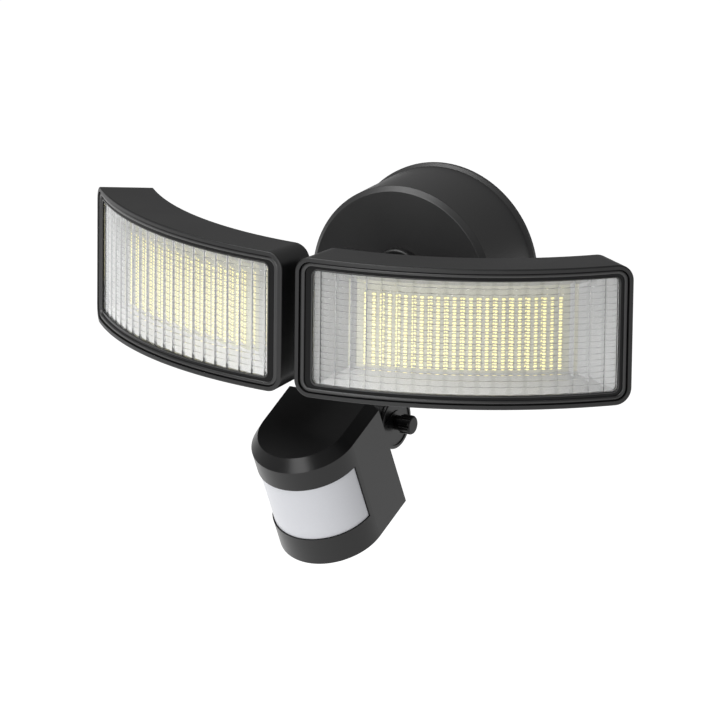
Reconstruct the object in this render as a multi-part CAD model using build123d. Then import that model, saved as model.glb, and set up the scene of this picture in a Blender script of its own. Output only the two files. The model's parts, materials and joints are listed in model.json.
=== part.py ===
from build123d import *
from math import asin, atan2, cos, degrees, hypot, radians, sin, sqrt
import os

os.makedirs("parts", exist_ok=True)

# Motion sensor security light with two curved light heads on a round wall canopy.
# Millimetres. +X right and -Y out of the wall as a viewer faces the light, +Z up.
# The wall is the plane y = 0, and the origin is the centre of the canopy's back.

# ---- clearances ----
running_gap = 0.35          # between faces that move past each other
pin_fit = 0.08              # radial, a pin turning in its bore
thread_fit = 0.05           # radial, a screw in the thread it is driven into
hole_fit = 0.4              # radial, a screw through a plain hole
seat_gap = 0.3              # a part lying loosely in its pocket

# ---- canopy ----
canopy_rim = 1.5            # rim outside the gasket
canopy_rim_depth = 2.4
canopy_rim_step = 1.6       # from the rim in to the side wall
canopy_front_step = 2.6     # from the rim in to the front's edge
canopy_depth = 54.0
canopy_front_bevel = 2.8    # bevel round the front, its two edges eased
canopy_front_round = 0.6
canopy_bore_round = 2.7
canopy_front_wall = 2.6
gasket_step = 1.0           # from the bore out to the gasket
gasket_width = 2.5
gasket_thickness = 1.5
post_radius = 4.5
post_end = 8.0              # how far the screw posts stop short of the wall

# ---- wall crossbar ----
crossbar_end = 3.0          # metal beyond each slot
crossbar_room = 2.55        # from the bar's ends to the canopy's wall
crossbar_corner = 5.0
crossbar_width = 22.0
crossbar_thickness = 2.0
box_screw_spacing = 88.9    # standard 3 1/2 inch round outlet box
box_slot_length = 10.0
box_slot_width = 4.8
canopy_screw_x = 33.0
canopy_screw_radius = 1.9
screw_head_radius = 3.9
screw_head_height = 2.4
ground_screw_x = 13.0
driver_screw_length = 3.2
driver_screw_bite = 1.4     # into the canopy's front wall
driver_plate = 2.0
driver_screw_head = 3.0

# ---- inside the canopy ----
driver_size = (52.0, 24.0, 26.0)
driver_z = 32.0
driver_ear = 7.0
terminal_size = (32.0, 12.0, 12.0)
terminal_z = -16.0
terminal_ways = 4

# ---- head hub on the canopy's front ----
head_z = 7.3                # height of the heads and their hub
hub_flange_radius = 15.0
hub_flange_thickness = 5.0
hub_neck_radius = 10.0
tail_radius = 8.0
tail_length = 9.0
tail_bore_radius = 4.5
lock_nut_across = 22.0
lock_nut_thickness = 5.0
pan_x = 20.0                # vertical pivot of each head's arm
pan_y = -82.0
yoke_radius = 11.0
yoke_height = 26.0
yoke_round = 2.0
tongue_radius = 10.7
tongue_height = 12.4
pocket_margin = 1.3
pan_bolt_radius = 3.0
pan_head_across = 10.0
pan_head_height = 4.0
pan_nut_height = 4.5

# ---- tilt knuckles ----
knuckle_thickness = 9.3     # one half
head_knuckle_radius = 13.0
knuckle_rim_round = 1.0
knuckle_groove = 0.8
knuckle_rim = 2.2           # raised ring round the outer face
knuckle_dish = 0.6          # how deep the face lies inside it
knuckle_boss_radius = 7.0   # raised seat in the middle for the knob or the nut
tilt_x = 50.0               # centre of each head's tilt knuckle
tilt_y = -126.0
thumb_shank_radius = 2.5
thumb_neck_radius = 4.2
thumb_neck_length = 3.4
thumb_knob_radius = 5.5
thumb_knob_length = 10.5    # neck and knob
thumb_knob_round = 1.4
thumb_flutes = 8
thumb_flute_radius = 1.1
clamp_nut_across = 8.0
clamp_nut_thickness = 4.0
arm_root_radius = 9.5
arm_round = 2.2

# ---- light heads: curved about a vertical axis behind the canopy's front ----
head_yaw = 26.1
head_radius = 220.0         # to the front face
head_half_angle = 25.1
head_height = 80.0
head_taper = 3.0            # how much lower the back is
head_depth = 30.6
rest_pan = -1.25            # both arms stand turned a little to the left
head_corner = 9.5
head_wall = 2.4
head_lip = 2.6
head_lip_round = 0.8
lens_recess = 3.0           # window behind the lip
flange_recess = 0.8
flange_thickness = 2.0
seal_thickness = 1.0
seal_width = 2.4
seal_gap_edge = 0.3         # round the lens and its seal, inside the lip
border_edge = 7.7           # lip to window, top and bottom
border_inner = 10.4         # the same at the end near the other head
border_outer = 7.8
window_thickness = 2.0
window_corner = 3.0
window_wall = 1.8
floor_thickness = 2.7
fin_height = 4.0
fin_pitch = 8.0
fin_slot = 5.2
fin_margin = 11.0
board_thickness = 1.6
board_half_angle = 19.0
board_height = 57.0
led_columns = 18
led_rows = 6
led_half_angle = 17.0
led_field_height = 46.0
led_size = (3.2, 3.2)
led_thickness = 0.8
reflector_wall = 1.0
reflector_floor_margin = 2.2
bracket_gap = 2.4           # between the pad and the knuckle's rim
bracket_half_angle = 4.7
bracket_height = 30.0
bracket_thickness = 4.0
bracket_lug_height = 14.0
bracket_screw_radius = 2.0
bracket_screw_head = 3.4
spot_face = 0.2             # flat seat for each screw in the curved pad

# ---- sensor swivel under the canopy's front ----
elbow_z = -37.0
elbow_radius = 10.0
elbow_flange_radius = 13.0
elbow_flange_thickness = 3.0
swivel_y = -73.0
elbow_mouth_z = -50.0
swivel_post_radius = 6.0
swivel_post_length = 11.0
swivel_foot_z = -57.5
hinge_z = -74.0
sensor_knuckle_radius = 15.5

# ---- sensor head, D-shaped in plan, in its own tilted frame ----
sensor_yaw = -4.0
sensor_tilt = 27.0          # face down from level
sensor_radius = 31.0
sensor_straight = 30.5      # from the round front's centre to the flat back
sensor_wall = 2.2
sensor_shoulder = 67.8      # where the roof's bevel starts
roof_rise = 6.6
roof_inset = 5.1
window_low = 18.2
window_high = 54.8
window_end = 3.0            # the window stops this far in front of the centre
sensor_window_recess = 0.9
sensor_window_thickness = 1.2
sensor_window_lap = 2.6
sensor_window_seat = 0.2
neck_length = 38.3
neck_height = 22.0
neck_radius = 9.0
back_thickness = 2.4
dial_spacing = 17.0
dial_forward = 4.0
dial_radius = 4.6
dial_height = 3.6
dial_slot = 1.0
dial_shaft_radius = 1.6
dial_board_gap = 7.0
dial_board_size = (48.0, 16.0)
dial_pot_size = (9.0, 3.0)
dial_peg_radius = 1.5
pcb_thickness = 1.6
pcb_size = (44.0, 46.0)
pcb_y = 4.0
pcb_rail = 1.6              # wall of the two rails that hold the board's edges
pir_radius = 4.6
pir_height = 4.2
photocell_radius = 2.5
photocell_height = 2.0
photocell_place = (13.0, -10.0)
back_screw_radius = 1.5
back_screw_grip = 6.0       # thread in the boss
back_screw_head = (2.7, 1.6)
back_boss_radius = 3.2
back_boss_length = 9.6
back_screw_in = 3.0         # from the side walls' insides to the screws
back_screw_low = 3.4        # above the floor
back_screw_high = 4.4       # under the shoulder

# ---- worked out from the sizes above ----
canopy_front_y = -canopy_depth
canopy_inside_y = canopy_front_y + canopy_front_wall
head_back_radius = head_radius - head_depth
head_back_height = head_height - head_taper
head_draft = head_taper / head_depth
tilt_to_axis = head_back_radius - bracket_thickness - bracket_gap - head_knuckle_radius
head_axis_y = tilt_y + sqrt(tilt_to_axis ** 2 - tilt_x ** 2)
lug_x = tilt_x + running_gap / 2 + knuckle_thickness / 2
bracket_angle = degrees(asin(lug_x / head_back_radius)) - head_yaw
crossbar_half_length = box_screw_spacing / 2 + box_slot_length / 2 + crossbar_end
canopy_bore_radius = crossbar_half_length + crossbar_room
gasket_inner_radius = canopy_bore_radius + gasket_step
gasket_outer_radius = gasket_inner_radius + gasket_width
canopy_rim_radius = gasket_outer_radius + canopy_rim
canopy_back_radius = canopy_rim_radius - canopy_rim_step
canopy_front_radius = canopy_rim_radius - canopy_front_step
floor_radius = head_back_radius + fin_height + floor_thickness
window_front_radius = head_radius - lens_recess
flange_front_radius = head_radius - flange_recess
flange_back_radius = flange_front_radius - flange_thickness
ledge_radius = flange_back_radius - seal_thickness
joint_gap = running_gap / 2                      # each knuckle half from the joint plane
knuckle_outside = joint_gap + knuckle_thickness


def save(name, shape):
    export_step(shape, f"parts/{name}.step")


def both_sides(name, right_shape):
    """The heads are a mirrored pair, each then turned on its pan bolt to its rest place."""
    for side, shape in ((1, right_shape), (-1, mirror(right_shape, about=Plane.YZ))):
        pivot = Pos(side * pan_x, pan_y, 0)
        turned = pivot * Rot(0, 0, rest_pan) * Pos(-side * pan_x, -pan_y, 0) * shape
        save(f"right_{name}" if side > 0 else f"left_{name}", turned)


def rod(radius, start, end, direction="Y"):
    """A cylinder between two places along an axis through the origin."""
    turn = {"X": Rot(0, 90, 0), "Y": Rot(90, 0, 0), "Z": Rot(0, 0, 0)}[direction]
    middle = (start + end) / 2
    shift = {"X": Pos(middle, 0, 0), "Y": Pos(0, middle, 0), "Z": Pos(0, 0, middle)}[direction]
    return shift * turn * Cylinder(radius, abs(end - start))


def hex_rod(across, start, end, direction="Y"):
    turn = {"X": Rot(0, 90, 0), "Y": Rot(90, 0, 0), "Z": Rot(0, 0, 0)}[direction]
    middle = (start + end) / 2
    shift = {"X": Pos(middle, 0, 0), "Y": Pos(0, middle, 0), "Z": Pos(0, 0, middle)}[direction]
    prism = extrude(RegularPolygon(across / 2, 6, major_radius=False), abs(end - start) / 2, both=True)
    return shift * turn * prism


def pan_head_screw(radius, length, head_radius, head_height):
    """A screw along Y with its head's seat at y = 0, pointing to +Y, with a crossed recess."""
    head = rod(head_radius, -head_height, 0)
    head = fillet(head.edges().filter_by(GeomType.CIRCLE).sort_by(Axis.Y)[0], head_height * 0.4)
    recess = Pos(0, -head_height, 0) * (Box(head_radius, head_height, head_radius * 0.22)
                                        + Box(head_radius * 0.22, head_height, head_radius))
    return head + rod(radius, 0, length) - recess


# ---------------------------------------------------------------- canopy

def canopy_housing():
    shell_line = Polyline(
        (0, 0), (canopy_rim_radius, 0), (canopy_rim_radius, -canopy_rim_depth),
        (canopy_back_radius, -canopy_rim_depth - (canopy_rim_radius - canopy_back_radius)),
        (canopy_front_radius, canopy_front_y), (0, canopy_front_y), close=True,
    )
    body = revolve(make_face(shell_line), Axis.Y, 360)
    body = chamfer(body.edges().filter_by(GeomType.CIRCLE).sort_by(Axis.Y)[0], canopy_front_bevel)
    body = fillet(body.edges().filter_by(GeomType.CIRCLE).sort_by(Axis.Y)[0:2], canopy_front_round)
    bore = rod(canopy_bore_radius, canopy_inside_y, 1)
    bore = fillet(bore.edges().filter_by(GeomType.CIRCLE).sort_by(Axis.Y)[0], canopy_bore_round)
    body -= bore
    body -= rod(gasket_outer_radius, -gasket_thickness, 1) - rod(gasket_inner_radius, -gasket_thickness, 1)
    for side in (-1, 1):
        body += Pos(side * canopy_screw_x, 0, 0) * rod(post_radius, canopy_inside_y - 1, -post_end)
        body -= Pos(side * canopy_screw_x, 0, 0) * rod(canopy_screw_radius + hole_fit, canopy_front_y - 1, 0)
    for height in (head_z, elbow_z):
        body -= Pos(0, 0, height) * rod(tail_radius + seat_gap, canopy_front_y - 1, canopy_inside_y + 1)
    for side in (-1, 1):
        body -= driver_screw_place(side) * rod(canopy_screw_radius, canopy_inside_y - driver_screw_bite,
                                               canopy_inside_y + 1)
    return body


def driver_screw_place(side):
    return Pos(side * (driver_size[0] - driver_ear) / 2, 0, driver_z - driver_size[2] / 2 + driver_ear / 2)


def canopy_gasket():
    return rod(gasket_outer_radius, -gasket_thickness, 0) - rod(gasket_inner_radius, -gasket_thickness, 0)


def crossbar():
    plan = RectangleRounded(2 * crossbar_half_length, crossbar_width, crossbar_corner)
    bar = Rot(90, 0, 0) * extrude(plan, crossbar_thickness)
    slot = Rot(90, 0, 0) * extrude(SlotOverall(box_slot_length, box_slot_width), crossbar_thickness + 1, both=True)
    for side in (-1, 1):
        bar -= Pos(side * box_screw_spacing / 2, 0, 0) * slot
        bar -= Pos(side * canopy_screw_x, 0, 0) * rod(canopy_screw_radius + thread_fit, -crossbar_thickness - 1, 1)
    bar -= Pos(ground_screw_x, 0, 0) * rod(canopy_screw_radius + thread_fit, -crossbar_thickness - 1, 1)
    return bar


def canopy_screws():
    length = canopy_depth - crossbar_thickness / 2
    screw = Pos(0, canopy_front_y, 0) * pan_head_screw(canopy_screw_radius, length, screw_head_radius,
                                                       screw_head_height)
    return Compound([Pos(side * canopy_screw_x, 0, 0) * screw for side in (-1, 1)])


def ground_screw():
    screw = pan_head_screw(canopy_screw_radius, crossbar_thickness - 0.2, screw_head_radius, screw_head_height)
    return Pos(ground_screw_x, -crossbar_thickness, 0) * screw


def driver_box():
    width, depth, height = driver_size
    case = Box(width, depth, height - driver_ear)
    case = fillet(case.edges().filter_by(Axis.Y), 2.5)
    plate = Pos(0, -depth / 2 + driver_plate / 2, 0) * Box(width, driver_plate, height)
    body = Pos(0, 0, driver_ear / 2) * case + plate
    body = Pos(0, canopy_inside_y + depth / 2, driver_z) * body
    for side in (-1, 1):
        body -= driver_screw_place(side) * rod(canopy_screw_radius + hole_fit, canopy_inside_y - 1,
                                               canopy_inside_y + 4)
    return body


def driver_screws():
    screw = Rot(0, 0, 180) * pan_head_screw(canopy_screw_radius - thread_fit, driver_screw_length,
                                            driver_screw_head, screw_head_height)
    screw = Pos(0, canopy_inside_y + driver_plate, 0) * screw
    return Compound([driver_screw_place(side) * screw for side in (-1, 1)])


def terminal_block():
    width, depth, height = terminal_size
    block = Box(width, depth, height)
    block = chamfer(block.edges().filter_by(Axis.X).sort_by(Axis.Y)[-2:], 2.0)
    pitch = width / terminal_ways
    for way in range(terminal_ways):
        x = (way - (terminal_ways - 1) / 2) * pitch
        block -= Pos(x, depth / 2, 0) * rod(2.0, -depth * 0.4, 1)
        block -= Pos(x, depth * 0.1, 0) * rod(1.5, -height, height, "Z")
    return Pos(0, canopy_inside_y + depth / 2, terminal_z) * block


# ---------------------------------------------------------------- hub and arms

def lock_nut(height):
    nut = hex_rod(lock_nut_across, canopy_inside_y, canopy_inside_y + lock_nut_thickness)
    nut -= rod(tail_radius + thread_fit, canopy_inside_y - 1, canopy_inside_y + lock_nut_thickness + 1)
    return Pos(0, 0, height) * nut


def arm_hub():
    """Round flange and neck that widen into a yoke with a clevis at each end."""
    flange = rod(hub_flange_radius, canopy_front_y - hub_flange_thickness, canopy_front_y)
    flange = fillet(flange.edges().filter_by(GeomType.CIRCLE).sort_by(Axis.Y)[0], 1.5)
    neck = rod(hub_neck_radius, pan_y, canopy_front_y)
    tail = rod(tail_radius, canopy_front_y - 1, canopy_front_y + tail_length)
    yoke = extrude(SlotCenterToCenter(2 * pan_x, 2 * yoke_radius), yoke_height / 2, both=True)
    yoke = fillet(yoke.edges().filter_by(Plane.XY), yoke_round)
    body = flange + neck + Pos(0, pan_y, 0) * yoke + tail
    body -= rod(tail_bore_radius, pan_y + yoke_radius - 2, canopy_front_y + tail_length + 1)
    for side in (-1, 1):
        pivot = Pos(side * pan_x, pan_y, 0)
        body -= pivot * Cylinder(tongue_radius + pocket_margin, tongue_height + 2 * running_gap)
        body -= pivot * Cylinder(pan_bolt_radius + thread_fit, yoke_height + 2)
    return Pos(0, 0, head_z) * body


def pan_bolts():
    top = yoke_height / 2
    bolt = hex_rod(pan_head_across, top, top + pan_head_height, "Z")
    bolt += rod(pan_bolt_radius, -top - pan_nut_height - 1.5, top, "Z")
    return Compound([Pos(side * pan_x, pan_y, head_z) * bolt for side in (-1, 1)])


def pan_nuts():
    bottom = -yoke_height / 2
    nut = hex_rod(pan_head_across, bottom - pan_nut_height, bottom, "Z")
    nut -= rod(pan_bolt_radius + thread_fit, bottom - pan_nut_height - 1, bottom + 1, "Z")
    return Compound([Pos(side * pan_x, pan_y, head_z) * nut for side in (-1, 1)])


def knuckle_disc(radius, side):
    """Half of a tilt joint: a disc about the X axis whose joint face is beside x = 0."""
    disc = rod(radius, joint_gap, knuckle_outside, "X")
    disc = fillet(disc.edges().filter_by(GeomType.CIRCLE).sort_by(Axis.X)[-1], knuckle_rim_round)
    groove = knuckle_outside - 2.6
    disc -= rod(radius + 1, groove, groove + knuckle_groove, "X") - rod(
        radius - knuckle_groove, groove, groove + knuckle_groove, "X")
    dish = knuckle_outside - knuckle_dish
    disc -= rod(radius - knuckle_rim, dish, dish + 2, "X") - rod(knuckle_boss_radius, dish, dish + 2, "X")
    disc -= rod(thumb_shank_radius + hole_fit, 0, knuckle_outside + 1, "X")
    return disc if side > 0 else mirror(disc, about=Plane.YZ)


def clamp_nut_pocket():
    return hex_rod(clamp_nut_across + 2 * hole_fit, knuckle_outside - clamp_nut_thickness, knuckle_outside + 1, "X")


def clamp_nut():
    """Nut of the -X half, seen from its own side: mirrored where the knuckle needs it."""
    nut = hex_rod(clamp_nut_across, knuckle_outside - clamp_nut_thickness, knuckle_outside, "X")
    nut -= rod(thumb_shank_radius + pin_fit, 0, knuckle_outside + 1, "X")
    return mirror(nut, about=Plane.YZ)


def thumbscrew():
    """Fluted knob on the +X side, its shank through both halves into the nut."""
    start = knuckle_outside + running_gap
    collar = rod(thumb_neck_radius, start, start + thumb_neck_length + 1, "X")
    knob = rod(thumb_knob_radius, start + thumb_neck_length, start + thumb_knob_length, "X")
    knob = fillet(knob.edges().filter_by(GeomType.CIRCLE).sort_by(Axis.X)[-1], thumb_knob_round)
    for flute in range(thumb_flutes):
        turn = Rot(360 * flute / thumb_flutes, 0, 0)
        knob -= turn * Pos(0, 0, thumb_knob_radius + thumb_flute_radius * 0.4) * rod(
            thumb_flute_radius, start + thumb_neck_length - 1, start + thumb_knob_length + 1, "X")
    return collar + knob + rod(thumb_shank_radius, -knuckle_outside + 0.5, start + 2, "X")


def head_arm():
    """Right arm: a flat tongue in the hub's clevis, a tapered beam, a tilt knuckle half."""
    tongue = Pos(pan_x, pan_y) * Circle(arm_root_radius)
    knuckle_x = tilt_x - joint_gap - knuckle_thickness / 2
    root = Pos(knuckle_x, tilt_y + head_knuckle_radius * 0.35) * Rectangle(knuckle_thickness, head_knuckle_radius)
    beam = extrude(make_hull(tongue.edges() + root.edges()), tongue_height / 2, both=True)
    beam = fillet(beam.edges().filter_by(Plane.XY), arm_round)
    disc = Pos(tilt_x, tilt_y, 0) * knuckle_disc(head_knuckle_radius, -1)
    arm = beam + Pos(pan_x, pan_y, 0) * Cylinder(tongue_radius, tongue_height) + disc
    arm -= Pos(tilt_x, tilt_y, 0) * rod(thumb_shank_radius + hole_fit, -knuckle_outside - 1, 1, "X")
    arm -= Pos(tilt_x, tilt_y, 0) * mirror(clamp_nut_pocket(), about=Plane.YZ)
    arm -= Pos(pan_x, pan_y, 0) * Cylinder(pan_bolt_radius + pin_fit, tongue_height + 2)
    return Pos(0, 0, head_z) * arm


# ---------------------------------------------------------------- light heads

head_place = Pos(0, head_axis_y, head_z) * Rot(0, 0, head_yaw)


def curved_block(inner_radius, outer_radius, start, end, inner_height, outer_height, corner=0.0):
    """Part of a ring about Z from one angle to another, 0 being -Y, with its four corners rounded."""
    section = make_face(Polyline(
        (inner_radius, 0, -inner_height / 2), (outer_radius, 0, -outer_height / 2),
        (outer_radius, 0, outer_height / 2), (inner_radius, 0, inner_height / 2), close=True,
    ))
    block = Rot(0, 0, start - 90) * revolve(section, Axis.Z, end - start)
    if corner:
        straight = block.edges().filter_by(GeomType.LINE)
        block = fillet(straight.filter_by(lambda e: abs((e @ 1 - e @ 0).normalized().Z) < 0.5), corner)
    return block


def along_front(length):
    """Angle that a length takes on the head's front face."""
    return degrees(length / head_radius)


def head_block(inner_radius, outer_radius, edge, inner_end=None, outer_end=None, corner=0.0):
    """A piece that follows the head's outline, set in from its edges."""
    inner_end = edge if inner_end is None else inner_end
    outer_end = edge if outer_end is None else outer_end
    return curved_block(
        inner_radius, outer_radius,
        -head_half_angle + along_front(inner_end), head_half_angle - along_front(outer_end),
        head_height - 2 * edge - head_draft * (head_radius - inner_radius),
        head_height - 2 * edge - head_draft * (head_radius - outer_radius),
        corner,
    )


def window_block(inner_radius, outer_radius, grow=0.0, corner=window_corner):
    return head_block(inner_radius, outer_radius, border_edge - grow, border_inner - grow,
                      border_outer - grow, corner)


def head_housing():
    """Rear tub: rounded lip, seal ledge, drafted walls and a finned back."""
    body = head_block(head_back_radius, head_radius, 0, corner=head_corner)
    lip_edge = body.faces().sort_by(lambda f: (f.center() - Vector(0, 0, 0)).length)[-1].edges()
    body = fillet(lip_edge, head_lip_round)
    body -= head_block(ledge_radius, head_radius + 1, head_lip, corner=head_corner - head_lip)
    step = head_lip + seal_gap_edge + seal_width
    body -= head_block(ledge_radius - 3.0, ledge_radius + 1, step, corner=head_corner - step)
    body -= head_block(floor_radius, ledge_radius - 2.9, head_wall, corner=head_corner - head_wall)
    slot_height = head_back_height - 2 * fin_margin
    slot = Box(fin_slot, 2 * fin_height, slot_height)
    pitch = degrees(fin_pitch / head_back_radius)
    reach = head_half_angle - degrees(fin_margin / head_back_radius)
    skip = bracket_half_angle + pitch
    for step_count in range(-int(reach / pitch), int(reach / pitch) + 1):
        angle = step_count * pitch
        if abs(angle - bracket_angle) > skip:
            body -= Rot(0, 0, angle) * Pos(0, -head_back_radius, 0) * slot
    for angle, height in bracket_screw_places():
        body -= Rot(0, 0, angle) * Pos(0, 0, height) * rod(
            bracket_screw_radius, -head_back_radius - fin_height, -head_back_radius + 1)
    return body


def lens():
    """Clear cover: flange on the seal, a wall down to the window, and the curved window."""
    flange = head_block(flange_back_radius, flange_front_radius, head_lip + seal_gap_edge,
                        corner=head_corner - head_lip - seal_gap_edge)
    flange -= window_block(flange_back_radius - 1, head_radius + 1)
    back = window_front_radius - window_thickness
    wall = window_block(back, flange_front_radius, window_wall, window_corner + window_wall)
    wall -= window_block(window_front_radius, head_radius + 1)
    return flange + wall


def lens_seal():
    start = head_lip + seal_gap_edge
    ring = head_block(ledge_radius, flange_back_radius, start, corner=head_corner - start)
    inside = start + seal_width
    return ring - head_block(ledge_radius - 1, flange_back_radius + 1, inside, corner=head_corner - inside)


def tray(top_radius, top_grow, low_radius, low_angle, low_height):
    """Tapered solid between the window's outline and the LED field."""
    top_start = -head_half_angle + along_front(border_inner - top_grow)
    top_end = head_half_angle - along_front(border_outer - top_grow)
    top_height = head_height - 2 * (border_edge - top_grow)
    section = make_face(Polyline(
        (low_radius, 0, -low_height / 2), (top_radius, 0, -top_height / 2),
        (top_radius, 0, top_height / 2), (low_radius, 0, low_height / 2), close=True,
    ))
    ring = Rot(0, 0, -90 - head_half_angle) * revolve(section, Axis.Z, 2 * head_half_angle)

    def corner(radius, angle):
        return (radius * sin(radians(angle)), -radius * cos(radians(angle)))

    def end_line(top_angle, bottom_angle):
        top = Vector(*corner(top_radius, top_angle))
        low = Vector(*corner(low_radius, bottom_angle))
        reach = (top - low) * 0.4
        return (top + reach), (low - reach)

    top_a, low_a = end_line(top_start, -low_angle)
    top_b, low_b = end_line(top_end, low_angle)
    far = Vector(0, -head_radius * 1.05)
    near = Vector(0, -low_radius * 0.9)
    plan = Polyline(low_a, top_a, Vector(top_a.X, far.Y), Vector(top_b.X, far.Y), top_b, low_b,
                    Vector(low_b.X, near.Y), Vector(low_a.X, near.Y), close=True)
    return ring & extrude(make_face(plan), head_height / 2, both=True)


def reflector():
    top = window_front_radius - window_thickness - seat_gap
    low = floor_radius + board_thickness + seat_gap
    angle = led_half_angle + degrees(reflector_floor_margin / low)
    height = led_field_height + 2 * reflector_floor_margin
    grow = degrees(reflector_wall / low)
    outer = tray(top, reflector_wall, low, angle + grow, height + 2 * reflector_wall)
    inner = tray(top, 0, low, angle, height)
    return outer - inner


def led_board():
    return curved_block(floor_radius, floor_radius + board_thickness, -board_half_angle, board_half_angle,
                        board_height, board_height, 2.0)


def leds():
    base = floor_radius + board_thickness
    chip = Pos(0, -base - led_thickness / 2, 0) * Box(led_size[0], led_thickness, led_size[1])
    column_step = 2 * led_half_angle / (led_columns - 1)
    row_step = (led_field_height - led_size[1]) / (led_rows - 1)
    return Compound([
        Rot(0, 0, -led_half_angle + column * column_step) * Pos(0, 0, (row - (led_rows - 1) / 2) * row_step) * chip
        for column in range(led_columns) for row in range(led_rows)
    ])


def bracket_screw_places():
    across = bracket_half_angle - degrees(4.0 / head_back_radius)
    up = bracket_height / 2 - 4.0
    return [(bracket_angle + x * across, z * up) for x in (-1, 1) for z in (-1, 1)]


def head_bracket():
    """Pad that follows the head's curved back, with a lug to the outer half of the tilt knuckle."""
    pad = curved_block(head_back_radius - bracket_thickness, head_back_radius,
                       bracket_angle - bracket_half_angle, bracket_angle + bracket_half_angle,
                       bracket_height, bracket_height, 4.0)
    for angle, height in bracket_screw_places():
        inner_face = -head_back_radius + bracket_thickness
        hole = rod(bracket_screw_radius + hole_fit, -head_back_radius - 1, inner_face + 1)
        hole += rod(bracket_screw_head + seat_gap, inner_face - spot_face, inner_face + 1)
        pad -= Rot(0, 0, angle) * Pos(0, 0, height) * hole
    lug_length = head_radius - hypot(tilt_x, tilt_y - head_axis_y)
    lug = Pos(lug_x, tilt_y - lug_length / 2, head_z) * Box(
        knuckle_thickness, lug_length, bracket_lug_height)
    lug = fillet(lug.edges().filter_by(Axis.Y), 1.2)
    lug &= Pos(0, head_axis_y, head_z) * Cylinder(head_back_radius - bracket_thickness / 2, bracket_height)
    disc = Pos(tilt_x, tilt_y, head_z) * knuckle_disc(head_knuckle_radius, 1)
    bore = Pos(tilt_x, tilt_y, head_z) * rod(thumb_shank_radius + hole_fit, 0, knuckle_outside + 1, "X")
    return head_place * pad + lug + disc - bore


def bracket_screws():
    seat = -head_back_radius + bracket_thickness - spot_face
    screw = Rot(0, 0, 180) * pan_head_screw(bracket_screw_radius - thread_fit, bracket_thickness + 3.0,
                                            bracket_screw_head, 1.8)
    return head_place * Compound([
        Rot(0, 0, angle) * Pos(0, seat, height) * screw for angle, height in bracket_screw_places()
    ])


# ---------------------------------------------------------------- sensor mount

def sensor_elbow():
    """Stub out of the canopy that turns down into the swivel's socket."""
    flange = rod(elbow_flange_radius, canopy_front_y - elbow_flange_thickness, canopy_front_y)
    flange = fillet(flange.edges().filter_by(GeomType.CIRCLE).sort_by(Axis.Y)[0], 1.0)
    body = flange + rod(elbow_radius, swivel_y, canopy_front_y)
    body += rod(tail_radius, canopy_front_y - 1, canopy_front_y + tail_length)
    body += Pos(0, swivel_y, 0) * Sphere(elbow_radius)
    body += Pos(0, swivel_y, 0) * rod(elbow_radius, elbow_mouth_z - elbow_z, 0, "Z")
    body -= rod(tail_bore_radius, swivel_y, canopy_front_y + tail_length + 1)
    socket_top = elbow_mouth_z - elbow_z + swivel_post_length + 1
    body -= Pos(0, swivel_y, 0) * rod(swivel_post_radius + running_gap, elbow_mouth_z - elbow_z - 1,
                                      socket_top, "Z")
    return Pos(0, 0, elbow_z) * body


swivel_place = Pos(0, swivel_y, 0) * Rot(0, 0, sensor_yaw)


def sensor_swivel():
    """Post in the elbow, collar under it, and the left half of the sensor's tilt knuckle."""
    collar_top = elbow_mouth_z - running_gap
    collar = rod(elbow_radius, swivel_foot_z, collar_top, "Z")
    collar = fillet(collar.edges().filter_by(GeomType.CIRCLE).sort_by(Axis.Z)[0], 1.2)
    body = collar + rod(swivel_post_radius, collar_top - 1, elbow_mouth_z + swivel_post_length, "Z")
    leg = Pos(-joint_gap - knuckle_thickness / 2, 0, hinge_z) * Box(
        knuckle_thickness, 2 * elbow_radius, 2 * (swivel_foot_z - hinge_z) + 3)
    body += leg & rod(elbow_radius, hinge_z, swivel_foot_z + 2, "Z")
    body += Pos(0, 0, hinge_z) * knuckle_disc(sensor_knuckle_radius, -1)
    body -= Pos(0, 0, hinge_z) * rod(thumb_shank_radius + hole_fit, -knuckle_outside - 1, 1, "X")
    body -= Pos(0, 0, hinge_z) * mirror(clamp_nut_pocket(), about=Plane.YZ)
    return swivel_place * body


hinge_place = swivel_place * Pos(0, 0, hinge_z)

# The sensor's own frame: origin at the centre of the round front, on the underside,
# +X right, +Y back towards the neck and +Z up through the roof. It leans face down.
sensor_place = hinge_place * Rot(sensor_tilt, 0, 0) * Pos(0, -sensor_straight - neck_length, -neck_height)


def d_face(inset=0.0, extra_back=0.0):
    """Plan of the sensor: half round in front, straight sides, flat back."""
    radius = sensor_radius - inset
    back = sensor_straight + extra_back
    outline = Polyline((radius, 0), (radius, back), (-radius, back), (-radius, 0))
    front = ThreePointArc((-radius, 0), (0, -radius), (radius, 0))
    return make_face(outline.edges() + front.edges())


def sensor_housing():
    top = sensor_shoulder + roof_rise
    body = bevelled(top)
    body = fillet(body.faces().sort_by(Axis.Z)[0].edges(), 0.8)
    inside = Pos(0, 0, sensor_wall) * extrude(d_face(sensor_wall, 1), sensor_shoulder - sensor_wall)
    body -= inside
    ring = Pos(0, -sensor_radius - window_end, (window_low + window_high) / 2) * Box(
        4 * sensor_radius, 2 * sensor_radius, window_high - window_low)
    body -= ring & extrude(d_face(-1), top)
    for place in dial_places():
        body -= place * rod(dial_radius + running_gap, -1, sensor_wall + 1, "Z")
    for side in (-1, 1):
        body += pcb_rail_block(side)
    for place in back_screw_places():
        seat = sensor_straight - back_thickness
        body += place * rod(back_boss_radius, seat - back_boss_length, seat)
        body -= place * rod(back_screw_radius + thread_fit, seat - back_boss_length + sensor_wall, seat + 1)
    return sensor_place * body


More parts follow.
